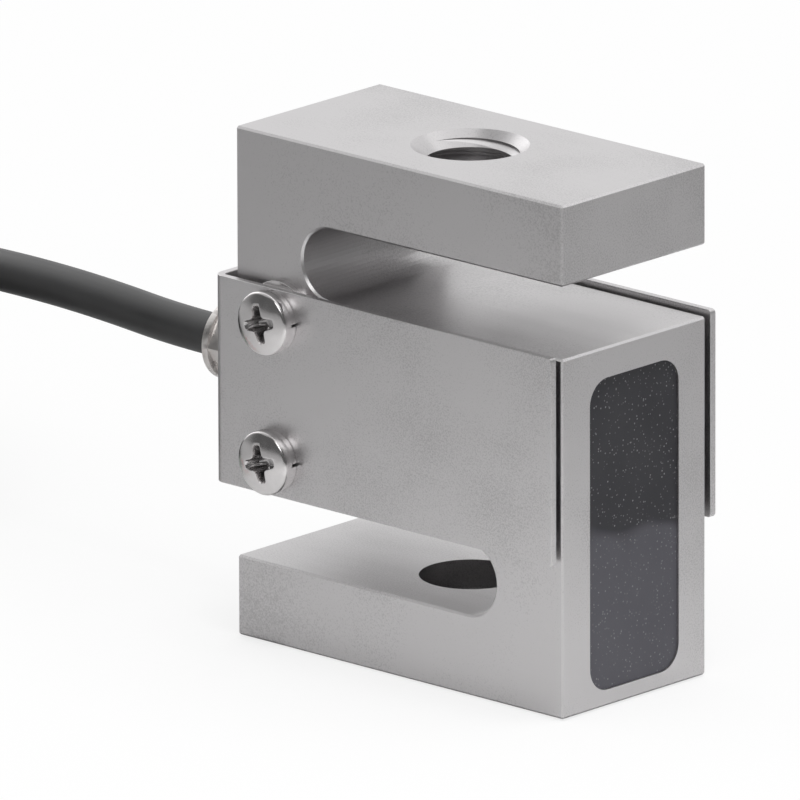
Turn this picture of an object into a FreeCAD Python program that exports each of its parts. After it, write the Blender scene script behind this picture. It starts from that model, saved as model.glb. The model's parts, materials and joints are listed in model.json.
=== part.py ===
import FreeCAD, Part
import math
import os
from types import SimpleNamespace

import Sketcher

# An S-type load cell: a machined steel body in the shape of an S, with a threaded hole in each bar,
# strain gauges in a cavity of its middle block, a trimming board potted into its end pocket, a folded
# sheet cover round the middle block, and a cable that leaves through a gland.
# Frame: the origin is on the load axis in the underside, +Z is the load axis upwards, +X points to the
# end pocket, the cable leaves towards -X, and the front is at -Y. All lengths are in millimetres.

SIZES = {
    # sensing body
    "body_width": 50.8,
    "body_depth": 24.4,
    "body_height": 61.0,
    "bar_height": 9.6,
    "slot_height": 8.6,
    "slot_wall": 10.4,
    "edge_break": 0.25,
    # threaded holes in the bars, M12: the hole is cut to the tapping drill
    "thread_radius": 5.1,
    "outer_mouth_radius": 6.85,
    "inner_mouth_radius": 6.0,
    # pocket in the right end face
    "pocket_width": 15.1,
    "pocket_bottom": 1.95,
    "pocket_roof": 3.65,
    "pocket_depth": 6.4,
    "pocket_corner": 3.0,
    # gauge cavity through the middle block, and the drilled wire passage
    "cavity_width": 20.0,
    "bridge_height": 4.6,
    "cavity_corner": 3.5,
    "passage_radius": 3.0,
    # cover: one folded sheet
    "sheet": 0.9,
    "leaf_gap": 0.9,
    "web_gap": 1.2,
    "cover_lap": 0.1,
    "cover_lift": 0.4,
    "cover_bend": 1.5,
    "cover_short": 0.1,
    "leaf_corner": 0.5,
    # cover screws, M4: the threads meet at their pitch diameter
    "screw_inset": 7.4,
    "screw_rise": 4.6,
    "screw_drop": 3.3,
    "screw_radius": 1.75,
    "screw_reach": 5.0,
    "screw_room": 1.0,
    "head_radius": 3.8,
    "head_side": 1.3,
    "head_crown": 0.4,
    "head_edge": 0.4,
    "recess_span": 4.3,
    "recess_width": 1.0,
    "recess_depth": 1.0,
    "washer_radius": 3.72,
    "washer_bore": 2.1,
    "washer_thick": 0.9,
    "washer_split": 5.0,
    "spacer_radius": 4.5,
    "sheet_hole": 2.2,
    # gland
    "gland_thread": 3.5,
    "gland_reach": 8.0,
    "gland_room": 1.0,
    "gland_collar": 4.0,
    "gland_washer_radius": 5.3,
    "flange_flats": 10.0,
    "flange_thick": 2.6,
    "neck_radius": 3.3,
    "neck_length": 5.1,
    "seal_length": 1.5,
    "nut_flats": 8.1,
    "nut_length": 7.7,
    "nut_rim_radius": 4.67,
    "nut_rim_length": 0.9,
    "nut_end_wall": 1.2,
    # cable and its cores
    "cable_radius": 2.5,
    "jacket_inside": 4.0,
    "core_radius": 0.5,
    "core_offset": 0.8,
    "lead_radius": 0.3,
    "lead_offset": 1.7,
    # gauges, board and what is on it
    "gauge_length": 4.6,
    "gauge_width": 4.0,
    "gauge_thick": 0.12,
    "gauge_offset": 3.9,
    "tab_offset": 2.4,
    "pad_thick": 1.2,
    "pad_gap": 1.5,
    "board_thick": 1.2,
    "board_margin": 0.9,
    "resistor_length": 3.2,
    "resistor_width": 1.6,
    "resistor_thick": 0.7,
    "resistor_gap": 4.9,
    "resistor_pitch": 4.5,
    "solder_height": 0.7,
    "solder_radius": 0.72,
    "solder_top": 0.4,
    "end_recess": 0.25,
    "cavity_recess": 1.0,
    # hank of the put-away length: long turns with round folds, lying on its two ties
    "hank_x": -153.6,
    "hank_y": -9.0,
    "hank_straight": 72.0,
    "fold_turn": 15.0,
    "turns_wide": 3.0,
    "turns_high": 4.0,
    "hank_slack": 0.1,
    "hank_corner": 2.0,
    "landing": 3.0,
    "entry_stub": 13.5,
    "tail_stub": 20.0,
    "tie_thick": 0.8,
    "tie_width": 8.0,
    "tip_radius": 0.35,
    "tip_length": 6.0,
    # running clearances between pieces that fit into each other
    "clearance": 0.05,
    "overrun": 1.0,
}

ARC_SHARE = 0.45  # share of the shorter run that each arc of a cord takes up
BOARD_HOLES = ((-1, -1), (1, -1), (1, 1), (-1, 1))
CORE_COLOURS = ("red", "black", "green", "white")
CORE_CORNERS = dict(zip(CORE_COLOURS, BOARD_HOLES))

# how far the cable has run along X, Y and Z from the gland's mouth at each point of its route, how
# far before its hank the route's last corner lies, and how steeply the cable comes down to the hank
CABLE_STEPS = (
    (0.0, 0.0, 0.0),
    (-8.0, 0.0, 0.0),
    (-20.0, 0.9, 0.6),
    (-33.0, 2.2, 0.5),
    (-47.0, 4.2, -0.5),
)
LAST_RUN = 10.0
ENTRY_SLOPE = 0.38

# how far each stripped lead has run along X, Y and Z from its place in the jacket at each of its points
LEAD_STEPS = {
    "red": ((5.0, 0.0, 0.0), (13.0, -1.6, -1.2), (24.0, -2.2, -2.1), (35.0, -1.6, -2.1)),
    "black": ((5.0, 0.0, 0.0), (13.0, 3.0, -1.2), (24.0, 5.4, -2.1), (34.0, 10.0, -2.1)),
    "green": ((4.5, 0.0, 0.0), (11.0, 4.4, -1.6), (20.0, 10.2, -3.7), (28.0, 15.6, -3.7)),
    "white": ((5.0, 0.0, 0.0), (13.0, 0.6, -1.9), (23.0, 1.0, -3.7), (33.0, 3.2, -3.7)),
}
DRAIN_STEPS = ((5.0, 0.0, 0.0), (13.0, 1.6, -1.4), (22.0, 3.0, -3.0), (30.0, 5.4, -3.0))

os.makedirs("parts", exist_ok=True)
doc = FreeCAD.newDocument("load_cell")
sheet = doc.addObject("Spreadsheet::Sheet", "Sizes")
for row, (alias, number) in enumerate(SIZES.items(), start=1):
    sheet.set(f"A{row}", alias)
    sheet.set(f"B{row}", str(number))
    sheet.setAlias(f"B{row}", alias)
doc.recompute()


class Size:
    """A length: the formula that an object is bound to, and its value in the sheet now."""

    def __init__(self, formula, value):
        self.formula = formula
        self.value = value

    def __add__(self, other):
        other = as_size(other)
        return Size(f"({self.formula} + {other.formula})", self.value + other.value)

    def __sub__(self, other):
        other = as_size(other)
        return Size(f"({self.formula} - {other.formula})", self.value - other.value)

    def __mul__(self, other):
        other = as_size(other)
        return Size(f"({self.formula} * {other.formula})", self.value * other.value)

    def __truediv__(self, other):
        other = as_size(other)
        return Size(f"({self.formula} / {other.formula})", self.value / other.value)

    def __neg__(self):
        return Size(f"(0 - {self.formula})", -self.value)


def as_size(number):
    """A plain number as a size, and a size as it is."""
    if isinstance(number, Size):
        return number
    return Size(repr(float(number)), float(number))


size = SimpleNamespace(**{name: Size(f"Sizes.{name}", float(getattr(sheet, name))) for name in SIZES})
ZERO = as_size(0)

# places that several pieces share
half_width = size.body_width / 2
half_depth = size.body_depth / 2
middle = size.body_height / 2
block_low = size.bar_height + size.slot_height
block_high = size.body_height - block_low
cavity_low = block_low + size.bridge_height
cavity_high = block_high - size.bridge_height
pocket_top = block_high - size.pocket_roof
cover_low = block_low - size.cover_lap + size.cover_lift
cover_high = block_high + size.cover_lap + size.cover_lift
screw_heights = (block_low + size.screw_rise, block_high - size.screw_drop)
leaf_inner = half_depth + size.leaf_gap
leaf_outer = leaf_inner + size.sheet
web_outer = size.web_gap + size.sheet
screw_x = size.screw_inset - half_width
pocket_floor = half_width - size.pocket_depth
flange_far = web_outer + size.flange_thick
neck_far = flange_far + size.neck_length
nut_near = flange_far + size.clearance * 4
nut_far = nut_near + size.nut_length
board_back = pocket_floor + size.pad_thick
board_front = board_back + size.board_thick
tap_bottom = size.gland_reach + size.gland_room
turn_pitch = size.cable_radius * 2
outer_turn = size.fold_turn + turn_pitch * (size.turns_wide - 1)
hank_low = size.tie_thick + size.clearance
lowest_turn = hank_low + size.hank_slack + size.cable_radius
highest_turn = lowest_turn + turn_pitch * (size.turns_high - 1)
hank_high = highest_turn + size.cable_radius + size.hank_slack
hank_inner = size.fold_turn - size.cable_radius - size.hank_slack
hank_outer = outer_turn + size.cable_radius + size.hank_slack
near_fold = size.hank_x + size.hank_straight / 2


def bind(thing, prop, length):
    """Ties a property of an object to the sheet."""
    thing.setExpression(prop, as_size(length).formula)


def move(thing, x=None, y=None, z=None):
    """Ties an object's place to the sheet."""
    for axis, length in (("x", x), ("y", y), ("z", z)):
        if length is not None:
            bind(thing, f"Placement.Base.{axis}", length)


def origin_plane(body, role):
    """The plane of a body's origin that has this role."""
    return next(feature for feature in body.Origin.OriginFeatures if feature.Role == role)


def new_body(name):
    """An empty body whose label names its file."""
    body = doc.addObject("PartDesign::Body", name)
    body.Label = name
    return body


def body_sketch(body, name, role, offset=None):
    """A sketch on a plane of its body's origin, moved along the plane's normal by the offset."""
    sketch = body.newObject("Sketcher::SketchObject", name)
    sketch.AttachmentSupport = [(origin_plane(body, role), "")]
    sketch.MapMode = "FlatFace"
    if offset is not None:
        bind(sketch, "AttachmentOffset.Base.z", offset)
    return sketch


def fix_point(sketch, geometry, end, x, y):
    """Ties a point of a sketch to its two distances from the origin."""
    for kind, length in (("DistanceX", x), ("DistanceY", y)):
        length = as_size(length)
        index = sketch.addConstraint(Sketcher.Constraint(kind, -1, 1, geometry, end, length.value))
        bind(sketch, f"Constraints[{index}]", length)


def outline(sketch, corners, centres=None):
    """A closed outline, listed anticlockwise. centres gives the centre of each side that is an arc."""
    centres = centres or {}
    corners = [(as_size(x), as_size(y)) for x, y in corners]
    points = [FreeCAD.Vector(x.value, y.value, 0) for x, y in corners]
    count = len(points)
    sides = []
    for n, start in enumerate(points):
        finish = points[(n + 1) % count]
        if n in centres:
            centre = FreeCAD.Vector(as_size(centres[n][0]).value, as_size(centres[n][1]).value, 0)
            circle = Part.Circle(centre, FreeCAD.Vector(0, 0, 1), (start - centre).Length)
            begin = math.atan2(start.y - centre.y, start.x - centre.x)
            end = math.atan2(finish.y - centre.y, finish.x - centre.x)
            sides.append(Part.ArcOfCircle(circle, begin, end if end > begin else end + 2 * math.pi))
        else:
            sides.append(Part.LineSegment(start, finish))
    first = sketch.addGeometry(sides)[0]
    for n, (x, y) in enumerate(corners):
        after = first + (n + 1) % count
        sketch.addConstraint(Sketcher.Constraint("Coincident", first + n, 2, after, 1))
        fix_point(sketch, first + n, 1, x, y)
    for n, (x, y) in centres.items():
        flat = abs(points[n].y - points[(n + 1) % count].y) < 1e-6
        kind, length = ("DistanceY", as_size(y)) if flat else ("DistanceX", as_size(x))
        index = sketch.addConstraint(Sketcher.Constraint(kind, -1, 1, first + n, 3, length.value))
        bind(sketch, f"Constraints[{index}]", length)


def rounded_box(sketch, left, right, low, high, corner):
    """A rectangle with four equal corner arcs."""
    corners = (
        (left + corner, low),
        (right - corner, low),
        (right, low + corner),
        (right, high - corner),
        (right - corner, high),
        (left + corner, high),
        (left, high - corner),
        (left, low + corner),
    )
    centres = {
        1: (right - corner, low + corner),
        3: (right - corner, high - corner),
        5: (left + corner, high - corner),
        7: (left + corner, low + corner),
    }
    outline(sketch, corners, centres)


def circle(sketch, x, y, radius):
    """A circle tied to its centre and radius."""
    centre = FreeCAD.Vector(as_size(x).value, as_size(y).value, 0)
    shape = Part.Circle(centre, FreeCAD.Vector(0, 0, 1), radius.value)
    index = sketch.addGeometry(shape)
    fix_point(sketch, index, 3, x, y)
    constraint = sketch.addConstraint(Sketcher.Constraint("Radius", index, radius.value))
    bind(sketch, f"Constraints[{constraint}]", radius)


def pad(body, name, sketch, length, symmetric=False, reverse=False):
    """Adds a sketch's area along its normal."""
    feature = body.newObject("PartDesign::Pad", name)
    feature.Profile = sketch
    feature.SideType = "Symmetric" if symmetric else "One side"
    feature.Reversed = reverse
    bind(feature, "Length", length)
    doc.recompute()
    return feature


def removed(body, feature, before):
    """Stops if a cut took nothing away."""
    doc.recompute()
    if body.Shape.Volume >= before - 1e-6:
        raise ValueError(f"{feature.Name} removes nothing")
    return feature


def pocket(body, name, sketch, depth, symmetric=False, reverse=False):
    """Cuts a sketch's area out of the body, against the sketch's normal."""
    before = body.Shape.Volume
    feature = body.newObject("PartDesign::Pocket", name)
    feature.Profile = sketch
    feature.SideType = "Symmetric" if symmetric else "One side"
    feature.Reversed = reverse
    bind(feature, "Length", depth)
    return removed(body, feature, before)


def groove(body, name, sketch):
    """Cuts a sketch's area turned about the sketch's own upright axis."""
    before = body.Shape.Volume
    feature = body.newObject("PartDesign::Groove", name)
    feature.Profile = sketch
    feature.ReferenceAxis = (sketch, ["V_Axis"])
    feature.Angle = 360
    return removed(body, feature, before)


def dress(body, kind, name, prop, length, picks):
    """A fillet or chamfer on the edges of the body's last shape that the test picks."""
    base = body.Tip
    edges = [f"Edge{n}" for n, edge in enumerate(base.Shape.Edges, start=1) if picks(edge)]
    if not edges:
        raise ValueError(f"{name} finds no edge")
    feature = body.newObject(kind, name)
    feature.Base = (base, edges)
    bind(feature, prop, length)
    doc.recompute()
    return feature


def turned(name, corners, axis, angle=360, centres=None):
    """A turned piece: a profile in the XY plane, turned about an axis."""
    profile = doc.addObject("Sketcher::SketchObject", f"{name}_profile")
    outline(profile, corners, centres)
    piece = doc.addObject("Part::Revolution", name)
    piece.Source = profile
    piece.Axis = axis
    piece.Base = FreeCAD.Vector()
    piece.Solid = True
    if isinstance(angle, Size):
        bind(piece, "Angle", angle)
    else:
        piece.Angle = angle
    return piece


def rod(name, x, y, z, radius, length):
    """A round rod along +X from the point given."""
    piece = doc.addObject("Part::Cylinder", name)
    piece.Placement.Rotation = FreeCAD.Rotation(FreeCAD.Vector(0, 1, 0), 90)
    bind(piece, "Radius", radius)
    bind(piece, "Height", length)
    move(piece, x, y, z)
    return piece


def block(name, x, y, z, length, width, height):
    """A box from its lowest corner."""
    piece = doc.addObject("Part::Box", name)
    bind(piece, "Length", length)
    bind(piece, "Width", width)
    bind(piece, "Height", height)
    move(piece, x, y, z)
    return piece


def cut(name, base, tool):
    """One shape less another."""
    piece = doc.addObject("Part::Cut", name)
    piece.Base = base
    piece.Tool = tool
    return piece


def fuse(name, pieces):
    """Several shapes made into one."""
    piece = doc.addObject("Part::MultiFuse", name)
    piece.Shapes = pieces
    return piece


def group(name, pieces):
    """Several separate solids in one node."""
    piece = doc.addObject("Part::Compound", name)
    piece.Links = pieces
    return piece


def cord_path(points):
    """Straight runs joined by tangent arcs, each as large as its two runs allow, with the radii."""
    edges = []
    radii = []
    start = points[0]
    for before, corner, after in zip(points, points[1:], points[2:]):
        back = before - corner
        ahead = after - corner
        trim = ARC_SHARE * min(back.Length, ahead.Length)
        half_turn = (math.pi - back.getAngle(ahead)) / 2
        radius = trim / math.tan(half_turn)
        back.normalize()
        ahead.normalize()
        inward = back + ahead
        inward.normalize()
        centre = corner + inward * (radius / math.cos(half_turn))
        entry = corner + back * trim
        leave = corner + ahead * trim
        edges.append(Part.LineSegment(start, entry).toShape())
        edges.append(Part.Arc(entry, centre - inward * radius, leave).toShape())
        radii.append(radius)
        start = leave
    edges.append(Part.LineSegment(start, points[-1]).toShape())
    return Part.Wire(edges), radii


def tube_shape(name, points, radius):
    """A round tube along a cord's path, with its volume compared with its section times its length."""
    path, radii = cord_path(points)
    ring = Part.Circle(points[0], points[1] - points[0], radius).toShape()
    shape = path.makePipeShell([Part.Wire([ring])], True, False)
    expected = math.pi * radius**2 * path.Length
    print(name, "length", round(path.Length, 1), "radii", [round(r, 1) for r in radii])
    if abs(shape.Volume - expected) > 0.01 * expected:
        raise ValueError(f"{name} has volume {shape.Volume:.1f} and not {expected:.1f}")
    return shape


def tube(name, points, radius):
    """A tube as an object of its own."""
    piece = doc.addObject("Part::Feature", name)
    piece.Shape = tube_shape(name, points, radius)
    return piece


# sensing body: one block of steel with two slots, milled, drilled and tapped
def make_body():
    body = new_body("sensing_body")
    block_sketch = body_sketch(body, "block_outline", "XZ_Plane")
    outline(
        block_sketch,
        (
            (-half_width, 0),
            (half_width, 0),
            (half_width, size.body_height),
            (-half_width, size.body_height),
        ),
    )
    pad(body, "block", block_sketch, size.body_depth, symmetric=True)
    for name, side, low in (("lower", 1, size.bar_height), ("upper", -1, block_high)):
        make_slot(body, name, side, low)
    dress(body, "PartDesign::Chamfer", "broken_edges", "Size", size.edge_break, is_outer_edge)
    make_thread(body, "upper", size.body_height, -1)
    make_thread(body, "lower", ZERO, 1)
    make_end_pocket(body)
    make_cavity(body)
    make_gland_bore(body)
    make_screw_holes(body)
    return body


def make_slot(body, name, side, low):
    """A slot with a full-round end. side is 1 where it opens to the left and -1 to the right."""
    sketch = body_sketch(body, f"{name}_slot_outline", "XZ_Plane")
    high = low + size.slot_height
    radius = size.slot_height / 2
    mouth = -(half_width + size.overrun) * side
    centre = (half_width - size.slot_wall - radius) * side
    corners = [(mouth, low), (centre, low), (centre, high), (mouth, high)]
    if side < 0:
        corners = [corners[2], corners[1], corners[0], corners[3]]
    arc = 1 if side > 0 else 0
    outline(sketch, corners, {arc: (centre, low + radius)})
    pocket(body, f"{name}_slot", sketch, size.body_depth + size.overrun, symmetric=True)


def is_outer_edge(edge):
    """The edges of the S outline: those round the front and rear faces, and the upright outer ones."""
    box = edge.BoundBox
    on_face = box.YLength < 1e-6
    along_y = box.XLength < 1e-6 and box.ZLength < 1e-6
    full = abs(box.YLength - size.body_depth.value) < 1e-6
    at_side = abs(abs(box.XMin) - half_width.value) < 1e-6
    return on_face or (along_y and full and at_side)


def make_thread(body, name, face, inward):
    """A threaded hole through a bar, countersunk at its outer mouth. inward is the way in along Z."""
    sketch = body_sketch(body, f"{name}_thread_profile", "XZ_Plane")
    far = face + size.bar_height * inward
    steps = (
        (ZERO, face),
        (size.outer_mouth_radius, face),
        (size.thread_radius, face + (size.outer_mouth_radius - size.thread_radius) * inward),
        (size.thread_radius, far - (size.inner_mouth_radius - size.thread_radius) * inward),
        (size.inner_mouth_radius, far),
        (ZERO, far),
    )
    outline(sketch, steps if inward > 0 else steps[::-1])
    groove(body, f"{name}_thread", sketch)


def make_end_pocket(body):
    """The pocket in the right end face that takes the trimming board."""
    sketch = body_sketch(body, "end_pocket_outline", "YZ_Plane", half_width)
    pocket_outline(sketch, ZERO)
    pocket(body, "end_pocket", sketch, size.pocket_depth)


def pocket_outline(sketch, margin):
    """The end pocket's rounded rectangle, or one smaller by a margin all round."""
    across = size.pocket_width / 2 - margin
    low = size.pocket_bottom + margin
    high = pocket_top - margin
    rounded_box(sketch, -across, across, low, high, size.pocket_corner - margin)


def cavity_outline(sketch):
    """The gauge cavity's rounded rectangle."""
    across = size.cavity_width / 2
    rounded_box(sketch, -across, across, cavity_low, cavity_high, size.cavity_corner)


def make_cavity(body):
    """The cavity from front to rear, and the drilled passage from the left face to the end pocket."""
    cavity_sketch = body_sketch(body, "cavity_outline", "XZ_Plane")
    cavity_outline(cavity_sketch)
    pocket(body, "gauge_cavity", cavity_sketch, size.body_depth + size.overrun, symmetric=True)
    passage_sketch = body_sketch(body, "passage_outline", "YZ_Plane", pocket_floor)
    circle(passage_sketch, 0, middle, size.passage_radius)
    pocket(body, "wire_passage", passage_sketch, pocket_floor + half_width)


def make_gland_bore(body):
    """The tapped bore of the gland in the left face."""
    sketch = body_sketch(body, "gland_bore_outline", "YZ_Plane", tap_bottom - half_width)
    circle(sketch, 0, middle, size.gland_thread)
    pocket(body, "gland_bore", sketch, tap_bottom)


def make_screw_holes(body):
    """Two tapped holes in the front face, mirrored to the rear."""
    sketch = body_sketch(body, "screw_hole_outline", "XZ_Plane", half_depth)
    for height in screw_heights:
        circle(sketch, screw_x, height, size.screw_radius + size.clearance)
    front = pocket(body, "front_screw_holes", sketch, size.screw_reach + size.screw_room)
    before = body.Shape.Volume
    rear = body.newObject("PartDesign::Mirrored", "rear_screw_holes")
    rear.Originals = [front]
    rear.MirrorPlane = (origin_plane(body, "XZ_Plane"), [""])
    body.Tip = rear
    removed(body, rear, before)


# cover: a sheet folded round the left face, with its holes
def make_cover():
    cover = new_body("wrap_cover")
    sketch = body_sketch(cover, "cover_fold", "XY_Plane", cover_low)
    right = half_width - size.cover_short
    outer = -(half_width + web_outer)
    inner = -(half_width + size.web_gap)
    outline(
        sketch,
        (
            (outer, -leaf_outer),
            (right, -leaf_outer),
            (right, -leaf_inner),
            (inner, -leaf_inner),
            (inner, leaf_inner),
            (right, leaf_inner),
            (right, leaf_outer),
            (outer, leaf_outer),
        ),
    )
    pad(cover, "folded_sheet", sketch, cover_high - cover_low)
    for name, face, radius in (
        ("outer_bends", outer, size.cover_bend),
        ("inner_bends", inner, size.cover_bend - size.sheet),
    ):
        dress(
            cover,
            "PartDesign::Fillet",
            name,
            "Radius",
            radius,
            lambda edge, x=face.value: edge.BoundBox.ZLength > 1 and abs(edge.BoundBox.XMin - x) < 1e-6,
        )
    dress(
        cover,
        "PartDesign::Fillet",
        "leaf_corners",
        "Radius",
        size.leaf_corner,
        lambda edge: abs(edge.BoundBox.XMin - right.value) < 1e-6
        and abs(edge.BoundBox.YLength - size.sheet.value) < 1e-6,
    )
    screw_sketch = body_sketch(cover, "cover_screw_holes_outline", "XZ_Plane")
    for height in screw_heights:
        circle(screw_sketch, screw_x, height, size.sheet_hole)
    pocket(cover, "cover_screw_holes", screw_sketch, (leaf_outer + size.overrun) * 2, symmetric=True)
    web_sketch = body_sketch(cover, "gland_hole_outline", "YZ_Plane", inner + size.overrun / 2)
    circle(web_sketch, 0, middle, size.gland_collar + size.clearance)
    pocket(cover, "gland_hole", web_sketch, size.sheet + size.overrun)
    return cover


# cover screws with their split and spacer washers, two on each leaf
def screw_profile():
    """A pan head screw's half section: the shank along the Y axis, the head towards minus Y."""
    seat = -(leaf_outer - half_depth + size.washer_thick)
    shoulder = seat - size.head_side
    top = shoulder - size.head_crown
    tip = size.screw_reach
    flat = size.head_radius - size.head_edge
    return (
        (ZERO, top),
        (flat, shoulder - size.head_crown / 3),
        (size.head_radius, shoulder + size.head_edge / 2),
        (size.head_radius, seat),
        (size.screw_radius, seat),
        (size.screw_radius, tip - size.head_edge),
        (size.screw_radius - size.head_edge, tip),
        (ZERO, tip),
    )


def ring_profile(inner, outer, near, far):
    """The half section of a flat ring about the Y axis."""
    return ((inner, near), (outer, near), (outer, far), (inner, far))


def make_screw(number, side, z):
    """One screw at its place, with its cross recess. side is -1 on the front leaf and 1 on the rear."""
    turn = 0 if side < 0 else 180
    depth = leaf_outer - half_depth + size.washer_thick + size.head_side + size.head_crown
    blank = turned(f"screw_blank_{number}", screw_profile(), FreeCAD.Vector(0, 1, 0))
    long = size.recess_span
    thin = size.recess_width
    recess_y = -(depth + size.overrun)
    recess_length = size.overrun + size.recess_depth
    wings = [
        block(f"wing_{number}_a", -long / 2, recess_y, -thin / 2, long, recess_length, thin),
        block(f"wing_{number}_b", -thin / 2, recess_y, -long / 2, thin, recess_length, long),
    ]
    cross = fuse(f"cross_{number}", wings)
    screw = cut(f"screw_{number}", blank, cross)
    return seat_on_face(screw, side, z, turn)


def seat_on_face(piece, side, z, turn):
    """Puts a turned piece onto the front or rear face at a screw's place."""
    piece.Placement.Rotation = FreeCAD.Rotation(FreeCAD.Vector(0, 0, 1), turn)
    move(piece, screw_x, half_depth * side, z)
    return piece


def make_fasteners():
    screws = []
    locks = []
    spacers = []
    number = 0
    lock_far = -(leaf_outer - half_depth)
    lock_near = lock_far - size.washer_thick
    for side in (-1, 1):
        for z in screw_heights:
            number += 1
            turn = 0 if side < 0 else 180
            y_axis = FreeCAD.Vector(0, 1, 0)
            screws.append(make_screw(number, side, z))
            lock = turned(
                f"lock_{number}",
                ring_profile(size.washer_bore, size.washer_radius, lock_near, lock_far),
                y_axis,
                as_size(360) - size.washer_split,
            )
            locks.append(seat_on_face(lock, side, z, turn))
            spacer = turned(
                f"spacer_{number}",
                ring_profile(size.sheet_hole, size.spacer_radius, -size.leaf_gap, ZERO),
                y_axis,
            )
            spacers.append(seat_on_face(spacer, side, z, turn))
    return [
        group("cover_screws", screws),
        group("lock_washers", locks),
        group("spacer_washers", spacers),
    ]


# gland: every profile is along X from the body's left face, outwards towards minus X
X_AXIS = FreeCAD.Vector(1, 0, 0)


def outward_ring(name, near, far, inner, outer):
    """A ring about the gland's axis between two distances from the left face."""
    piece = turned(name, ((-far, inner), (-near, inner), (-near, outer), (-far, outer)), X_AXIS)
    move(piece, -half_width, ZERO, middle)
    return piece


def hexagon(name, near, far, flats):
    """A hexagon about the gland's axis with a corner to the front."""
    piece = doc.addObject("Part::Prism", name)
    piece.Polygon = 6
    bind(piece, "Circumradius", flats / math.sqrt(3))
    bind(piece, "Height", far - near)
    quarter = FreeCAD.Rotation(FreeCAD.Vector(0, 1, 0), 90)
    corner_to_front = FreeCAD.Rotation(FreeCAD.Vector(0, 0, 1), 90)
    piece.Placement.Rotation = quarter * corner_to_front
    move(piece, -(half_width + far), ZERO, middle)
    return piece


def make_gland():
    """The gland's body, washer, seal and nut, and the jacketed end of the cable inside them."""
    cable = size.cable_radius + size.clearance
    seal_far = neck_far + size.seal_length
    thread = size.gland_thread - size.clearance
    sleeve = [
        outward_ring("gland_shank", -size.gland_reach, ZERO, cable, thread),
        outward_ring("gland_collar", ZERO, web_outer, cable, size.gland_collar),
        outward_ring("gland_neck", flange_far, neck_far, cable, size.neck_radius),
    ]
    flange_hex = hexagon("flange_hexagon", web_outer, flange_far, size.flange_flats)
    flange_bore = outward_ring("flange_bore", web_outer, flange_far, ZERO, cable)
    flange = cut("gland_flange", flange_hex, flange_bore)
    gland_body = fuse("gland_body", sleeve + [flange])
    collar_hole = size.gland_collar + size.clearance
    washer = outward_ring("gland_washer", ZERO, size.web_gap, collar_hole, size.gland_washer_radius)
    seal = outward_ring("gland_seal", neck_far, seal_far, cable, size.neck_radius)
    rim_near = nut_far - size.nut_rim_length
    nut_hex = hexagon("nut_hexagon", nut_near, nut_far - size.nut_rim_length / 2, size.nut_flats)
    nut_rim = outward_ring("nut_rim", rim_near, nut_far, ZERO, size.nut_rim_radius)
    thread_near, thread_far = nut_near - size.overrun, nut_far - size.nut_end_wall
    nut_thread = outward_ring(
        "nut_thread", thread_near, thread_far, ZERO, size.neck_radius + size.clearance
    )
    nut_hole = outward_ring("nut_hole", nut_near, nut_far + size.overrun, ZERO, cable)
    nut_blank = fuse("nut_blank", [nut_hex, nut_rim])
    nut = cut("gland_nut", nut_blank, fuse("nut_bores", [nut_thread, nut_hole]))
    entry = rod(
        "cable_entry",
        -(half_width + nut_far),
        ZERO,
        middle,
        size.cable_radius,
        nut_far + size.jacket_inside,
    )
    return [gland_body, washer, seal, nut, entry]


# inside the body: cores, gauges with their leads, board, solder and the two fillings
def make_cores():
    start = size.jacket_inside - half_width
    cores = []
    for colour, (across, up) in CORE_CORNERS.items():
        y = size.core_offset * across
        z = middle + size.core_offset * up
        cores.append(rod(f"core_{colour}", start, y, z, size.core_radius, board_front - start))
    return cores


def make_gauges():
    """Four foil gauges on the cavity's roof and floor, each with a twin lead to the board."""
    gauges = []
    leads = []
    for row, up, surface in (("roof", 1, cavity_high), ("floor", -1, cavity_low)):
        for column, along in (("left", -1), ("right", 1)):
            low = surface - size.gauge_thick if up > 0 else surface
            gauges.append(
                block(
                    f"strain_gauge_{row}_{column}",
                    size.gauge_offset * along - size.gauge_length / 2,
                    -size.gauge_width / 2,
                    low,
                    size.gauge_length,
                    size.gauge_width,
                    size.gauge_thick,
                )
            )
            x = size.tab_offset.value * along
            y = size.lead_offset.value * along
            z = middle.value + size.lead_offset.value * up
            points = [
                FreeCAD.Vector(x, y, (surface - size.gauge_thick * up).value),
                FreeCAD.Vector(x, y, z),
                FreeCAD.Vector(board_front.value, y, z),
            ]
            leads.append(tube(f"gauge_lead_{row}_{column}", points, size.lead_radius.value))
    return gauges, leads


def make_board():
    """The trimming board on its pad, with its resistors and solder joints."""
    board = new_body("trim_board")
    sketch = body_sketch(board, "board_outline", "YZ_Plane", board_back)
    pocket_outline(sketch, size.board_margin)
    for across, up in BOARD_HOLES:
        for spread, radius in (
            (size.core_offset, size.core_radius),
            (size.lead_offset, size.lead_radius),
        ):
            circle(sketch, spread * across, middle + spread * up, radius + size.clearance)
    pad(board, "board", sketch, size.board_thick)
    across = size.pocket_width / 2 - size.board_margin
    pad_low = size.pocket_bottom + size.pocket_corner
    pad_high = middle - size.lead_offset - size.lead_radius - size.pad_gap
    board_pad = block(
        "board_pad", pocket_floor, -across, pad_low, size.pad_thick, across * 2, pad_high - pad_low
    )
    resistors = []
    for step in range(4):
        z = middle - size.lead_offset - size.resistor_gap - size.resistor_pitch * step
        resistors.append(
            block(
                f"trim_resistor_{step + 1}",
                board_front,
                -size.resistor_length / 2,
                z - size.resistor_width / 2,
                size.resistor_thick,
                size.resistor_length,
                size.resistor_width,
            )
        )
    return board, board_pad, resistors


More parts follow.
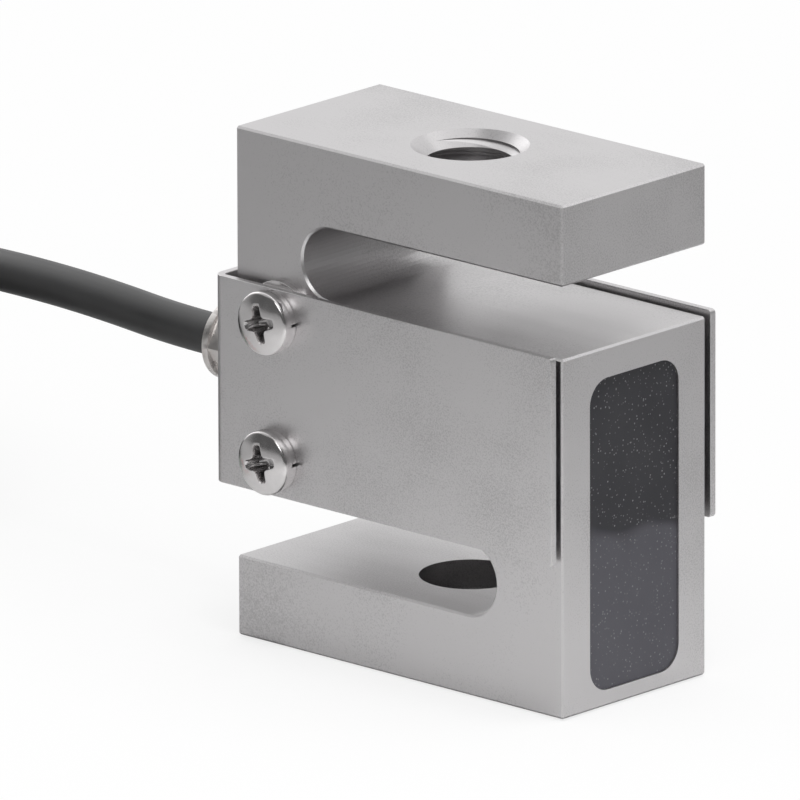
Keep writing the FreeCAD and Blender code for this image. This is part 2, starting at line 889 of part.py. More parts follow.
def make_solder():
    """Eight solder cones on the board's front, over the ends of the cores and leads."""
    cones = []
    for n, (across, up) in enumerate(BOARD_HOLES):
        for kind, spread, wide in (("core", size.core_offset, 1.0), ("lead", size.lead_offset, 0.7)):
            cone = doc.addObject("Part::Cone", f"solder_{kind}_{n}")
            cone.Placement.Rotation = FreeCAD.Rotation(FreeCAD.Vector(0, 1, 0), 90)
            bind(cone, "Radius1", size.solder_radius * wide)
            bind(cone, "Radius2", size.solder_top * wide)
            bind(cone, "Height", size.solder_height)
            move(cone, board_front, spread * across, middle + spread * up)
            cones.append(cone)
    return group("solder_joints", cones)


def make_fillings(cores, gauges, leads, board, board_pad, resistors, solder):
    """The two pottings: each is its space less what lies in it."""
    cavity_fill = new_body("cavity_fill")
    cavity_sketch = body_sketch(cavity_fill, "cavity_fill_outline", "XZ_Plane")
    cavity_outline(cavity_sketch)
    cavity_length = size.body_depth - size.cavity_recess * 2
    pad(cavity_fill, "cavity_fill_pad", cavity_sketch, cavity_length, symmetric=True)
    cavity_parts = fuse("cavity_contents", cores + gauges + leads)
    cavity_potting = cut("cavity_potting", cavity_fill, cavity_parts)
    end_fill = new_body("end_fill")
    end_sketch = body_sketch(end_fill, "end_fill_outline", "YZ_Plane", pocket_floor)
    pocket_outline(end_sketch, ZERO)
    pad(end_fill, "end_fill_pad", end_sketch, size.pocket_depth - size.end_recess)
    end_parts = fuse("end_contents", [board, board_pad, solder] + resistors + cores + leads)
    end_potting = cut("end_potting", end_fill, end_parts)
    return cavity_potting, end_potting


# cable: its run from the gland, its hank on the floor, and the stripped far end
def make_cable():
    mouth = FreeCAD.Vector(-(half_width + nut_far).value, 0, middle.value)
    landed = FreeCAD.Vector(
        (near_fold - size.landing).value,
        (size.hank_y + size.fold_turn).value,
        highest_turn.value,
    )
    slope = FreeCAD.Vector(1, 0, ENTRY_SLOPE)
    hank_mouth = landed + slope * size.entry_stub.value
    route = [mouth + FreeCAD.Vector(*step) for step in CABLE_STEPS]
    route += [hank_mouth + slope * LAST_RUN, hank_mouth]
    run = tube("cable_run", route, size.cable_radius.value)
    buried = landed - FreeCAD.Vector(size.tail_stub.value, 0, 0)
    entry = tube("hank_entry", [hank_mouth, landed, buried], size.cable_radius.value)
    tail = rod(
        "hank_tail", near_fold, size.hank_y - outer_turn, lowest_turn, size.cable_radius, size.tail_stub
    )
    hank = fuse("cable_hank", [make_hank_ring(), entry, tail])
    return [run, hank, make_ties()] + make_leads()


def stadium(sketch, radius):
    """A long hole's outline: two straight sides and two half circles of the radius."""
    far, near = size.hank_x - size.hank_straight / 2, near_fold
    low, high = size.hank_y - radius, size.hank_y + radius
    centres = {1: (near, size.hank_y), 3: (far, size.hank_y)}
    outline(sketch, [(far, low), (near, low), (near, high), (far, high)], centres)


def make_hank_ring():
    """The hank's turns as one ring, rounded along its edges."""
    ring = new_body("hank_ring")
    sketch = body_sketch(ring, "hank_outline", "XY_Plane", hank_low)
    stadium(sketch, hank_outer)
    stadium(sketch, hank_inner)
    pad(ring, "hank_pad", sketch, hank_high - hank_low)
    dress(ring, "PartDesign::Fillet", "hank_edges", "Radius", size.hank_corner, is_level)
    return ring


def is_level(edge):
    return abs(edge.Vertexes[0].Point.z - edge.Vertexes[-1].Point.z) < 1e-6


def make_ties():
    """A band round each of the hank's two sides."""
    ties = []
    gap = size.clearance
    wall = size.clearance + size.tie_thick
    for name, side in (("rear", 1), ("front", -1)):
        inner = size.hank_y + hank_inner * side
        outer = size.hank_y + hank_outer * side
        left, right = (inner, outer) if side > 0 else (outer, inner)
        tie = new_body(f"{name}_tie")
        sketch = body_sketch(tie, f"{name}_tie_outline", "YZ_Plane", size.hank_x)
        for grow in (wall, gap):
            corner = size.hank_corner + grow
            rounded_box(sketch, left - grow, right + grow, hank_low - grow, hank_high + grow, corner)
        pad(tie, f"{name}_tie_pad", sketch, size.tie_width, symmetric=True)
        ties.append(tie)
    return group("hank_ties", ties)


def make_leads():
    """The stripped cores and the shield's drain wire, fanned out on the floor past the jacket's end."""
    jacket_end = FreeCAD.Vector(
        (near_fold + size.tail_stub).value,
        (size.hank_y - outer_turn).value,
        lowest_turn.value,
    )
    wires = [
        (f"lead_{colour}", CORE_CORNERS[colour], size.core_radius.value, steps)
        for colour, steps in LEAD_STEPS.items()
    ]
    wires.append(("shield_drain", (0, 0), size.tip_radius.value, DRAIN_STEPS))
    pieces = []
    for name, (across, up), radius, steps in wires:
        spread = size.core_offset.value
        start = jacket_end + FreeCAD.Vector(0, spread * across, spread * up)
        points = [start] + [start + FreeCAD.Vector(*step) for step in steps]
        shape = tube_shape(name, points, radius)
        if name != "shield_drain":
            onward = points[-1] - points[-2]
            tip = Part.makeCylinder(
                size.tip_radius.value, size.tip_length.value, points[-1], onward
            )
            shape = shape.fuse(tip)
        piece = doc.addObject("Part::Feature", name)
        piece.Shape = shape
        pieces.append(piece)
    return pieces


body = make_body()
cover = make_cover()
fasteners = make_fasteners()
gland = make_gland()
cores = make_cores()
gauges, gauge_leads = make_gauges()
board, board_pad, resistors = make_board()
solder = make_solder()
fillings = make_fillings(cores, gauges, gauge_leads, board, board_pad, resistors, solder)
cable = make_cable()
doc.recompute()

for thing in doc.Objects:
    if "Invalid" in thing.State or "Error" in thing.State:
        raise ValueError(f"{thing.Name} is {thing.State}")

nodes = [body, cover, *fasteners, *gland, *cores, *gauges, *gauge_leads]
nodes += [board, board_pad, *resistors, solder, *fillings, *cable]
for node in nodes:
    if node.Shape.isNull() or not node.Shape.isValid() or not node.Shape.Solids:
        raise ValueError(f"{node.Label} has no valid solid")
for node in nodes:
    node.Shape.exportStep(f"parts/{node.Label}.step")
    box = node.Shape.BoundBox
    corners = [round(c, 2) for c in (box.XMin, box.YMin, box.ZMin, box.XMax, box.YMax, box.ZMax)]
    print(node.Label, "solids", len(node.Shape.Solids), "volume", round(node.Shape.Volume, 2), corners)
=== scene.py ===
import json
import math

import bmesh
import bpy
from mathutils import Matrix, Vector


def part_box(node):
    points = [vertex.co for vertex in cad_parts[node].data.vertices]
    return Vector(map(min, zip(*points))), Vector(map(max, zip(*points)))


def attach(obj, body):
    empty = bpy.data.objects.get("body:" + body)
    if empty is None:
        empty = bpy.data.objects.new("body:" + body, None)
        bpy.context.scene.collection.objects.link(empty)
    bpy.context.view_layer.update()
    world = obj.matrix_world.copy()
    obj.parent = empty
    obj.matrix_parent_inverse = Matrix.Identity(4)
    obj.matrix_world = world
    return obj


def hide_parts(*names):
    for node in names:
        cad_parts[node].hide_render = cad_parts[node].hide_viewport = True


MM = 0.001

# camera: where it looks from, and the lens that gives the photograph's scale
CAMERA_AZIMUTH = math.radians(42.763)
CAMERA_ELEVATION = math.radians(16.244)
CAMERA_ROLL = math.radians(-0.169)
CAMERA_DISTANCE = 3138.0 * MM
CAMERA_LENS = 1229.0
SENSOR_WIDTH = 36.0
BODY_CENTRE = Vector((0.0, 0.0, 30.5)) * MM
AIM_RIGHT = -8.127 * MM
AIM_UP = 0.023 * MM

# cable: its route in millimetres as in the part's source, then the turns of its hank
CABLE_DIAMETER = 5.0 * MM
CABLE_ROUTE = (
    (-38.0, 0.0, 30.5),
    (-46.0, 0.0, 30.5),
    (-58.0, 0.9, 31.1),
    (-71.0, 2.2, 31.0),
    (-85.0, 4.2, 30.0),
    (-97.1, 6.0, 27.38),
    (-107.1, 6.0, 23.58),
    (-120.6, 6.0, 18.45),
)
HANK_X = -153.6
HANK_Y = -9.0
HALF_STRAIGHT = 36.0
INNER_TURN = 15.0
PITCH = 5.0
LANES = 3
LEVELS = 4
LOWEST_TURN = 3.45
FOLD_POINTS = 12
STEP_POINTS = 6
STEP_LENGTH = 10.0
TAIL_LENGTH = 20.0

# stripped far end: each core's place in the jacket, and how far it has run from the jacket's end
CORE_OFFSET = 0.8
CORE_DIAMETER = 1.0 * MM
DRAIN_DIAMETER = 0.7 * MM
LEADS = {
    "red": ((-1, -1), ((5.0, 0.0, 0.0), (13.0, -1.6, -1.2), (24.0, -2.2, -2.1), (35.0, -1.6, -2.1))),
    "black": ((1, -1), ((5.0, 0.0, 0.0), (13.0, 3.0, -1.2), (24.0, 5.4, -2.1), (34.0, 10.0, -2.1))),
    "green": ((1, 1), ((4.5, 0.0, 0.0), (11.0, 4.4, -1.6), (20.0, 10.2, -3.7), (28.0, 15.6, -3.7))),
    "white": ((-1, 1), ((5.0, 0.0, 0.0), (13.0, 0.6, -1.9), (23.0, 1.0, -3.7), (33.0, 3.2, -3.7))),
}
DRAIN = ((5.0, 0.0, 0.0), (13.0, 1.6, -1.4), (22.0, 3.0, -3.0), (30.0, 5.4, -3.0))

# bare tips of the cores: twisted wires, whose ripple is a share of the strand's radius
TIP_LENGTH = 6.0
TIP_OVERLAP = 0.5
STRAND_RADIUS = 0.35
STRAND_WIRES = 7
STRAND_RIPPLE = 0.07
STRAND_TWIST = 20.0
STRAND_SIDES = 21
STRAND_RINGS = 30

# bores and their M12 thread, as radii, heights and depths in millimetres
THREAD_PITCH = 1.75
THREAD_MINOR = 5.06
THREAD_MAJOR = 6.0
THREAD_STEPS = 72
THREAD_OVERRUN = 3.0
THREAD_START = math.radians(-78)
THREAD_EDGE = math.radians(12)
BORE = 5.1
OUTER_MOUTH = 6.85
INNER_MOUTH = 6.0
INNER_RELIEF = 3.4
BAR_HEIGHT = 9.6
CUT_ALLOWANCE = 0.02
CUT_PAST = 0.5

# pan head screws, in millimetres: shank and head, then the cross recess with the depths of its rings
SHANK_RADIUS = 1.75
SHANK_LENGTH = 6.6
SHANK_CHAMFER = 0.4
HEAD_RADIUS = 3.8
HEAD_SIDE = 0.72
HEAD_SHOULDER = 0.45
HEAD_CROWN = 0.55
RECESS_SPAN = 2.45
RECESS_TAPER = 0.5
RECESS_HALF_WIDTH = 0.7
RECESS_ARM_TAPER = 0.6
RECESS_CORNER = 0.525
RECESS_DEPTHS = (-0.4, 0.0, 0.6, 1.2, 1.84, 2.3)
RECESS_FLOOR_SHARE = 0.55
RECESS_TURN = math.radians(13)
ARM_END_ROUND = 0.45
ARM_END_WIDTH = 0.82

# rounded edges: the angle in degrees over which an edge is rounded, and the widths in millimetres
EDGE_ANGLE = 30
COVER_EDGE = 0.22
LOCK_WASHER_EDGE = 0.12
FLAT_WASHER_EDGE = 0.08
NUT_EDGE = 0.15
SLEEVE_EDGE = 0.12
SCREW_EDGE = 0.1

# compound: how much paler its lower part is, a painted reflection of the floor, the heights between which
# that ends and how far noise shifts them, and its dust in layers: cells per metre, a dot's radius in its
# cell and how many have one
POTTING_PAINTED_REFLECTION = 2.8
POTTING_REFLECTION_LINE = (0.0236, 0.0258)
POTTING_WAVES = 0.012
DUST_COLOR = (0.29, 0.29, 0.30)
DUST_LAYERS = ((330, 0.035, 0.5), (900, 0.1, 0.4), (2600, 0.26, 0.4))

# floor: how pale it is, and how white the camera sees it, from close to the object to out in the open, the
# lower white close by being a painted shadow
FLOOR_SIZE = 6.0
FLOOR_GAP = 0.0002
FLOOR_GREY = 0.52
FLOOR_NEAR = 0.05
FLOOR_OPEN = (0.4, 0.95)
FLOOR_WHITE = (0.79, 0.985)

# room: where its light side is, and its strength from away from that side to towards it
ROOM_LIGHT_SIDE = (-0.6, 0.79, 0.1)
ROOM_TURN = (-0.1, 0.8)
ROOM_STRENGTH = (0.06, 1.08)

# share of plain white that floor and room show in mirrors
FLOOR_MIRRORED = 0.08
ROOM_MIRRORED = 0.06

# square soft lamps: name, place, target, size in metres and power in watts
SOFT_LAMPS = (
    ("top_softbox", (0.22, 0.15, 0.75), (0.12, 0.05, 0.0), 0.9, 2.0),
    ("left_card", (-0.5, 0.1, 0.25), (0.0, 0.0, 0.03), 0.35, 0.25),
    ("high_card", (-0.42, -0.25, 0.62), (0.0, 0.0, 0.03), 0.7, 0.5),
    ("front_card", (0.28, -0.58, 0.62), (0.0, 0.0, 0.03), 0.4, 1.1),
)

# lamps for soft-edged pools on the floor: name, place, target, radius of pool and of lamp, and power
POOL_LAMPS = (
    ("near_pool", (0.14, -0.14, 0.8), (0.01, -0.075, 0.0), 0.12, 0.06, 20.0),
    ("edge_pool", (0.2, -0.16, 0.8), (0.1, -0.09, 0.0), 0.09, 0.06, 16.0),
    ("end_pool", (0.16, 0.06, 0.8), (0.055, 0.015, 0.0), 0.1, 0.06, 13.0),
    ("rear_pool", (0.3, 0.3, 0.8), (0.16, 0.12, 0.0), 0.25, 0.1, 5.0),
)

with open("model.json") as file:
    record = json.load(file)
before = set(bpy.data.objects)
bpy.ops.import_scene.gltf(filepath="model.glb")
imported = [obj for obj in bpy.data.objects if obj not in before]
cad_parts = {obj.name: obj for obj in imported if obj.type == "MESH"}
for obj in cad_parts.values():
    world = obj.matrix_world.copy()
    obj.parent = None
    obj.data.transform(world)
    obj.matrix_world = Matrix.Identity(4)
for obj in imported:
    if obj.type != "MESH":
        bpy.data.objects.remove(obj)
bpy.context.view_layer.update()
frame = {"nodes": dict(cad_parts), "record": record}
nodes = frame["nodes"]


# camera
def make_camera():
    """The camera at the photograph's angle, aimed beside the body's centre and rolled a little."""
    across = math.cos(CAMERA_ELEVATION)
    back = Vector(
        (
            math.sin(CAMERA_AZIMUTH) * across,
            -math.cos(CAMERA_AZIMUTH) * across,
            math.sin(CAMERA_ELEVATION),
        )
    )
    right = Vector((math.cos(CAMERA_AZIMUTH), math.sin(CAMERA_AZIMUTH), 0.0))
    up = back.cross(right)
    target = BODY_CENTRE + right * AIM_RIGHT + up * AIM_UP
    roll_cos = math.cos(CAMERA_ROLL)
    roll_sin = math.sin(CAMERA_ROLL)
    turned_right = right * roll_cos + up * roll_sin
    turned_up = up * roll_cos - right * roll_sin
    rotation = Matrix((turned_right, turned_up, back)).transposed().to_4x4()
    camera = bpy.data.objects.new("camera", bpy.data.cameras.new("camera"))
    bpy.context.scene.collection.objects.link(camera)
    camera.data.lens = CAMERA_LENS
    camera.data.sensor_width = SENSOR_WIDTH
    camera.data.clip_start = 0.1
    camera.data.clip_end = 30.0
    camera.matrix_world = Matrix.Translation(target + back * CAMERA_DISTANCE) @ rotation
    bpy.context.scene.camera = camera


make_camera()


# meshes
def to_object(name, mesh, smooth=EDGE_ANGLE):
    """A finished mesh as an object of the scene, shaded smooth up to an angle in degrees."""
    data = bpy.data.meshes.new(name)
    bmesh.ops.recalc_face_normals(mesh, faces=mesh.faces)
    mesh.to_mesh(data)
    mesh.free()
    data.polygons.foreach_set("use_smooth", [True] * len(data.polygons))
    data.set_sharp_from_angle(angle=math.radians(smooth))
    thing = bpy.data.objects.new(name, data)
    bpy.context.scene.collection.objects.link(thing)
    return thing


def join_rings(mesh, rings):
    """Faces between rings of as many corners each. A ring on the axis is one corner, repeated."""
    for low, high in zip(rings, rings[1:]):
        for k in range(len(low)):
            after = (k + 1) % len(low)
            mesh.faces.new(dict.fromkeys((low[k], low[after], high[after], high[k])))


def loft(rings):
    """A closed skin through rings of as many points each, in millimetres."""
    mesh = bmesh.new()
    made = [[mesh.verts.new(point * MM) for point in ring] for ring in rings]
    join_rings(mesh, made)
    mesh.faces.new(made[0][::-1])
    mesh.faces.new(made[-1])
    return mesh


def turned_skin(profile, sides=96):
    """A closed skin turned about the Y axis, from (radius, y) points that start and end on the axis."""
    mesh = bmesh.new()
    rings = []
    for radius, y in profile:
        if radius == 0:
            rings.append([mesh.verts.new(Vector((0, y, 0)) * MM)] * sides)
            continue
        ring = []
        for k in range(sides):
            angle = 2 * math.pi * k / sides
            point = Vector((radius * math.cos(angle), y, radius * math.sin(angle)))
            ring.append(mesh.verts.new(point * MM))
        rings.append(ring)
    join_rings(mesh, rings)
    return mesh


# cable with its hank, and its stripped far end
def nurbs(name, points, diameter):
    """A round cord along one smooth line through or near its points, given in millimetres."""
    curve = bpy.data.curves.new(name, "CURVE")
    curve.dimensions = "3D"
    curve.bevel_depth = diameter / 2
    curve.bevel_resolution = 7
    curve.resolution_u = 6
    curve.use_fill_caps = True
    spline = curve.splines.new("NURBS")
    spline.points.add(len(points) - 1)
    for point, place in zip(spline.points, points):
        point.co = (*(Vector(place) * MM), 1.0)
    spline.order_u = 3
    spline.use_endpoint_u = True
    cord = bpy.data.objects.new(name, curve)
    bpy.context.scene.collection.objects.link(cord)
    return cord


def turn_radius(lane):
    return INNER_TURN + PITCH * lane


def straight_end(lane):
    """How far from the hank's middle a turn's last point lies before its fold."""
    return HALF_STRAIGHT - turn_radius(lane) * math.tan(math.pi / 2 / FOLD_POINTS)


def on_side(x, side, lane, level):
    """A point of the hank's rear side (1) or front side (-1)."""
    return (HANK_X + x, HANK_Y + side * turn_radius(lane), LOWEST_TURN + PITCH * level)


def fold(end, lane, level):
    """The points of a half turn round the hank's near end (1) or far end (-1)."""
    points = []
    for n in range(FOLD_POINTS):
        angle = math.pi * (n + 0.5) / FOLD_POINTS - end * math.pi / 2
        radius = turn_radius(lane) / math.cos(math.pi / 2 / FOLD_POINTS)
        x = HANK_X + end * HALF_STRAIGHT + radius * math.cos(angle)
        y = HANK_Y + radius * math.sin(angle)
        points.append((x, y, LOWEST_TURN + PITCH * level))
    return points


def hank_points():
    """The turns of the hank, from where the cable has come down on it to the end of the jacket.

    The inner lane is wound downwards, the middle one upwards and the outer one downwards. A turn
    moves on to the next one's place within one step of the rear side, and each kind of move has
    a step of its own there, so that no two turns meet. The first turn starts part of the way along.
    """
    levels = list(range(LEVELS))
    turns = [(lane, level) for lane in range(LANES) for level in (levels if lane % 2 else levels[::-1])]
    steps = [STEP_LENGTH * ((STEP_POINTS - 1) / 2 - k) for k in range(STEP_POINTS)]
    points = []
    for n in range(1, len(turns)):
        before, turn = turns[n - 1], turns[n]
        rear = steps[1:] if n == 1 else [straight_end(before[0])] + steps
        moved = STEP_LENGTH * (before[0] + turn[0] - 2)
        for x in rear:
            points.append(on_side(x, 1, *(before if x > moved else turn)))
        points.append(on_side(-straight_end(turn[0]), 1, *turn))
        points += fold(-1, *turn)
        points.append(on_side(-straight_end(turn[0]), -1, *turn))
        points.append(on_side(straight_end(turn[0]), -1, *turn))
        if n < len(turns) - 1:
            points += fold(1, *turn)
    return points + [jacket_end]


def strand_tip(name, start, end):
    """A bare twisted strand between two points, in millimetres."""
    along = end - start
    rings = []
    for n in range(STRAND_RINGS + 1):
        share = n / STRAND_RINGS
        ring = []
        for k in range(STRAND_SIDES):
            angle = 2 * math.pi * k / STRAND_SIDES
            ripple = math.cos(STRAND_WIRES * angle + share * STRAND_TWIST)
            radius = STRAND_RADIUS * (1 - STRAND_RIPPLE + STRAND_RIPPLE * ripple)
            ring.append(Vector((radius * math.cos(angle), radius * math.sin(angle), along.length * share)))
        rings.append(ring)
    tip = to_object(name, loft(rings), smooth=40)
    turn = along.to_track_quat("Z", "Y").to_matrix().to_4x4()
    tip.data.transform(Matrix.Translation(start * MM) @ turn)
    return tip


def make_leads():
    """The stripped cores with their bare tips, and the drain wire."""
    pieces = []
    for colour, ((across, up), steps) in LEADS.items():
        start = Vector(jacket_end) + Vector((0, CORE_OFFSET * across, CORE_OFFSET * up))
        points = [start] + [start + Vector(step) for step in steps]
        lead = nurbs(f"wire_{colour}", points, CORE_DIAMETER)
        end = points[-1]
        onward = (end - points[-2]).normalized()
        tip = strand_tip(f"tip_{colour}", end - onward * TIP_OVERLAP, end + onward * TIP_LENGTH)
        pieces.append((colour, lead, tip))
    points = [Vector(jacket_end)] + [Vector(jacket_end) + Vector(step) for step in DRAIN]
    return pieces, nurbs("wire_drain", points, DRAIN_DIAMETER)


jacket_end = on_side(HALF_STRAIGHT + TAIL_LENGTH, -1, LANES - 1, 0)
cable = nurbs("cable", list(CABLE_ROUTE) + hank_points(), CABLE_DIAMETER)
leads, drain = make_leads()


# materials
def new_material(name, color, metallic=0.0, roughness=0.5):
    """A material with its shader, for the functions below to add their detail to."""
    material = bpy.data.materials.new(name)
    material.use_nodes = True
    shader = material.node_tree.nodes["Principled BSDF"]
    shader.inputs["Base Color"].default_value = (*color, 1.0)
    shader.inputs["Metallic"].default_value = metallic
    shader.inputs["Roughness"].default_value = roughness
    return material, shader


def add(owner, kind, **settings):
    """A node of this kind for a material or the world, with settings for its own properties."""
    node = owner.node_tree.nodes.new(kind)
    for name, value in settings.items():
        setattr(node, name, value)
    return node


def link(owner, source, target):
    owner.node_tree.links.new(source, target)


def calculate(owner, operation, first, second):
    """A number worked out from two, each a node's output or a plain number."""
    node = add(owner, "ShaderNodeMath", operation=operation)
    for socket, value in zip(node.inputs, (first, second)):
        if isinstance(value, bpy.types.NodeSocket):
            link(owner, value, socket)
        else:
            socket.default_value = value
    return node.outputs["Value"]


def sum_of(owner, first, second, share):
    """Two values added, the second by a share."""
    node = add(owner, "ShaderNodeMath", operation="MULTIPLY_ADD")
    node.inputs[1].default_value = share
    link(owner, second, node.inputs[0])
    link(owner, first, node.inputs[2])
    return node.outputs["Value"]


def spread(owner, value, low, high, start=0.3, end=0.7, kind="LINEAR"):
    """The values from start to end, mapped onto the numbers from low to high."""
    node = add(owner, "ShaderNodeMapRange", interpolation_type=kind)
    node.inputs["From Min"].default_value = start
    node.inputs["From Max"].default_value = end
    node.inputs["To Min"].default_value = low
    node.inputs["To Max"].default_value = high
    link(owner, value, node.inputs["Value"])
    return node.outputs["Result"]


def tint(material, value, dark, light, start=0.3, end=0.7):
    """The values from start to end, mapped onto the colours from dark to light."""
    node = add(material, "ShaderNodeValToRGB")
    first, last = node.color_ramp.elements
    first.position = start
    last.position = end
    first.color = (*dark, 1.0)
    last.color = (*light, 1.0)
    link(material, value, node.inputs["Fac"])
    return node.outputs["Color"]


def noise(material, scale, detail=2.0, stretch=None):
    """Noise in the object's own space. scale is per metre and stretch scales its axes."""
    source = add(material, "ShaderNodeTexCoord").outputs["Object"]
    if stretch is not None:
        mapping = add(material, "ShaderNodeMapping")
        mapping.inputs["Scale"].default_value = stretch
        link(material, source, mapping.inputs["Vector"])
        source = mapping.outputs["Vector"]
    texture = add(material, "ShaderNodeTexNoise")
    texture.inputs["Scale"].default_value = scale
    texture.inputs["Detail"].default_value = detail
    texture.inputs["Roughness"].default_value = 0.5
    link(material, source, texture.inputs["Vector"])
    return texture.outputs["Fac"]


def openness(material, distance, samples):
    """How open the object itself leaves the space above each place, up to a distance in metres."""
    node = add(material, "ShaderNodeAmbientOcclusion", only_local=True, samples=samples)
    node.inputs["Distance"].default_value = distance
    return node.outputs["AO"]


def scaled(color, share):
    return tuple(min(channel * share, 1.0) for channel in color)


def product(material, first, second):
    """Two colours multiplied."""
    node = add(material, "ShaderNodeMix", data_type="RGBA", blend_type="MULTIPLY")
    node.inputs["Factor"].default_value = 1.0
    link(material, first, node.inputs["A"])
    link(material, second, node.inputs["B"])
    return node.outputs["Result"]


def towards(material, first, color, share):
    """A colour moved towards a plain one by a share."""
    node = add(material, "ShaderNodeMix", data_type="RGBA")
    link(material, share, node.inputs["Factor"])
    link(material, first, node.inputs["A"])
    node.inputs["B"].default_value = (*color, 1.0)
    return node.outputs["Result"]


def vary(material, shader, value, color, tones, roughness, steps):
    """Makes tone and gloss follow a noise value: shares of the colour and steps from the roughness."""
    tone = tint(material, value, scaled(color, tones[0]), scaled(color, tones[1]))
    link(material, tone, shader.inputs["Base Color"])
    gloss = spread(material, value, roughness + steps[0], roughness + steps[1])
    link(material, gloss, shader.inputs["Roughness"])


def bump(material, shader, height, depth):
    """Bump of a real depth in metres."""
    node = add(material, "ShaderNodeBump")
    node.inputs["Strength"].default_value = 1.0
    node.inputs["Distance"].default_value = depth
    link(material, height, node.inputs["Height"])
    link(material, node.outputs["Normal"], shader.inputs["Normal"])


def milled_steel(name, color, roughness, grain=1.0):
    """Fine milled steel: a fine grain, faint tool lines, slow changes of tone and painted shade in its
    hollows.
    """
    material, shader = new_material(name, color, metallic=1.0, roughness=roughness)
    slow = noise(material, scale=60, detail=3)
    fine = noise(material, scale=5200)
    lines = noise(material, scale=900, stretch=(0.05, 1.0, 1.0))
    # painted shade: the colour darkens where the object closes in over a place, in slots and hollows
    shade_mask = openness(material, distance=0.012, samples=6)
    tone = sum_of(material, slow, fine, share=1.0)
    grained = tint(material, tone, scaled(color, 0.85), scaled(color, 1.14), start=0.65, end=1.35)
    shade_tone = tint(material, shade_mask, dark=(0.8,) * 3, light=(1.0,) * 3, start=0.35, end=0.85)
    link(material, product(material, grained, shade_tone), shader.inputs["Base Color"])
    mottle = sum_of(material, slow, lines, share=0.5)
    gloss = spread(material, mottle, roughness - 0.03, roughness + 0.05, start=0.5, end=1.0)
    link(material, gloss, shader.inputs["Roughness"])
    bump(material, shader, sum_of(material, fine, lines, share=0.6), depth=0.0000012 * grain)
    return material


def polished_metal(name, color, roughness, painted_shade=0.3):
    """Bright metal with faint smears, and painted shade that darkens its corners by the share given."""
    material, shader = new_material(name, color, metallic=1.0, roughness=roughness)
    smear = noise(material, scale=700, detail=3)
    gloss = spread(material, smear, roughness * 0.8, roughness * 1.4)
    link(material, gloss, shader.inputs["Roughness"])
    unshaded = tint(material, smear, scaled(color, 0.94), scaled(color, 1.03))
    # painted shade: in corners and recesses the colour moves towards a dark steel
    shade_mask = openness(material, distance=0.003, samples=8)
    shade_share = spread(material, shade_mask, painted_shade, 0.0, start=0.15, end=0.6)
    link(material, towards(material, unshaded, scaled(color, 0.15), shade_share), shader.inputs["Base Color"])
    bump(material, shader, noise(material, scale=1500), depth=0.000001)
    return material


def rubber(name, color, roughness, grain=1.0):
    """Rubber or soft plastic with a fine leathery grain."""
    material, shader = new_material(name, color, roughness=roughness)
    vary(material, shader, noise(material, scale=90), color, (0.85, 1.15), roughness, (-0.05, 0.07))
    bump(material, shader, noise(material, scale=2600, detail=3), depth=0.00001 * grain)
    return material


def plastic(name, color, roughness=0.38):
    """Plastic with slow changes of tone and gloss."""
    material, shader = new_material(name, color, roughness=roughness)
    vary(material, shader, noise(material, scale=400), color, (0.92, 1.06), roughness, (-0.04, 0.06))
    bump(material, shader, noise(material, scale=3000), depth=0.000003)
    return material


def specks(material, where, scale, radius, often):
    """Dots round some of a cell pattern's points, each as strong as chance gives it."""
    cells = add(material, "ShaderNodeTexVoronoi")
    cells.inputs["Scale"].default_value = scale
    link(material, where, cells.inputs["Vector"])
    chance = add(material, "ShaderNodeSeparateColor")
    link(material, cells.outputs["Color"], chance.inputs["Color"])
    near = calculate(material, "LESS_THAN", cells.outputs["Distance"], radius)
    chosen = calculate(material, "LESS_THAN", chance.outputs["Red"], often)
    dots = calculate(material, "MULTIPLY", near, chosen)
    return calculate(material, "MULTIPLY", dots, chance.outputs["Green"])


def cast_compound(name, color, roughness):
    """Cast compound: paler towards its lower part, a painted reflection of the floor, with blotches and
    pale dust of several sizes.
    """
    material, shader = new_material(name, color, roughness=roughness)
    blotch = noise(material, scale=150, detail=3)
    fine = noise(material, scale=4200, detail=3)
    waves = noise(material, scale=110, detail=1)
    where = add(material, "ShaderNodeTexCoord").outputs["Object"]
    split = add(material, "ShaderNodeSeparateXYZ")
    link(material, where, split.inputs["Vector"])
    # painted reflection: below a wavy height the base colour is painted paler, as the floor's reflection
    # would light it
    height = sum_of(material, split.outputs["Z"], waves, share=POTTING_WAVES)
    upper = spread(material, height, 0.0, 1.0, *POTTING_REFLECTION_LINE, kind="SMOOTHSTEP")
    base = tint(material, upper, scaled(color, POTTING_PAINTED_REFLECTION), color, start=0.0, end=1.0)
    mottle = sum_of(material, blotch, fine, share=2.0)
    mottling = tint(material, mottle, dark=(0.62,) * 3, light=(1.5,) * 3, start=1.1, end=1.9)
    dust = 0.0
    for layer in DUST_LAYERS:
        dust = calculate(material, "MAXIMUM", dust, specks(material, where, *layer))
    dusted = towards(material, product(material, base, mottling), DUST_COLOR, dust)
    link(material, dusted, shader.inputs["Base Color"])
    gloss = spread(material, blotch, roughness - 0.06, roughness + 0.08, start=0.35, end=0.65)
    link(material, gloss, shader.inputs["Roughness"])
    bump(material, shader, sum_of(material, fine, blotch, share=4.0), depth=0.00001)
    return material


def strap(name, color):
    """Woven strap: a fine plain weave with fuzz."""
    material, shader = new_material(name, color, roughness=0.85)
    where = add(material, "ShaderNodeTexCoord").outputs["Object"]
    bands = []
    for direction, scale in (("X", 500), ("DIAGONAL", 350)):
        texture = add(material, "ShaderNodeTexWave", bands_direction=direction)
        texture.inputs["Scale"].default_value = scale
        link(material, where, texture.inputs["Vector"])
        bands.append(texture.outputs["Fac"])
    fuzz = noise(material, scale=4000, detail=3)
    tone = tint(material, fuzz, scaled(color, 0.6), scaled(color, 1.8))
    link(material, tone, shader.inputs["Base Color"])
    threads = sum_of(material, *bands, share=0.7)
    bump(material, shader, sum_of(material, threads, fuzz, share=0.8), depth=0.00012)
    return material
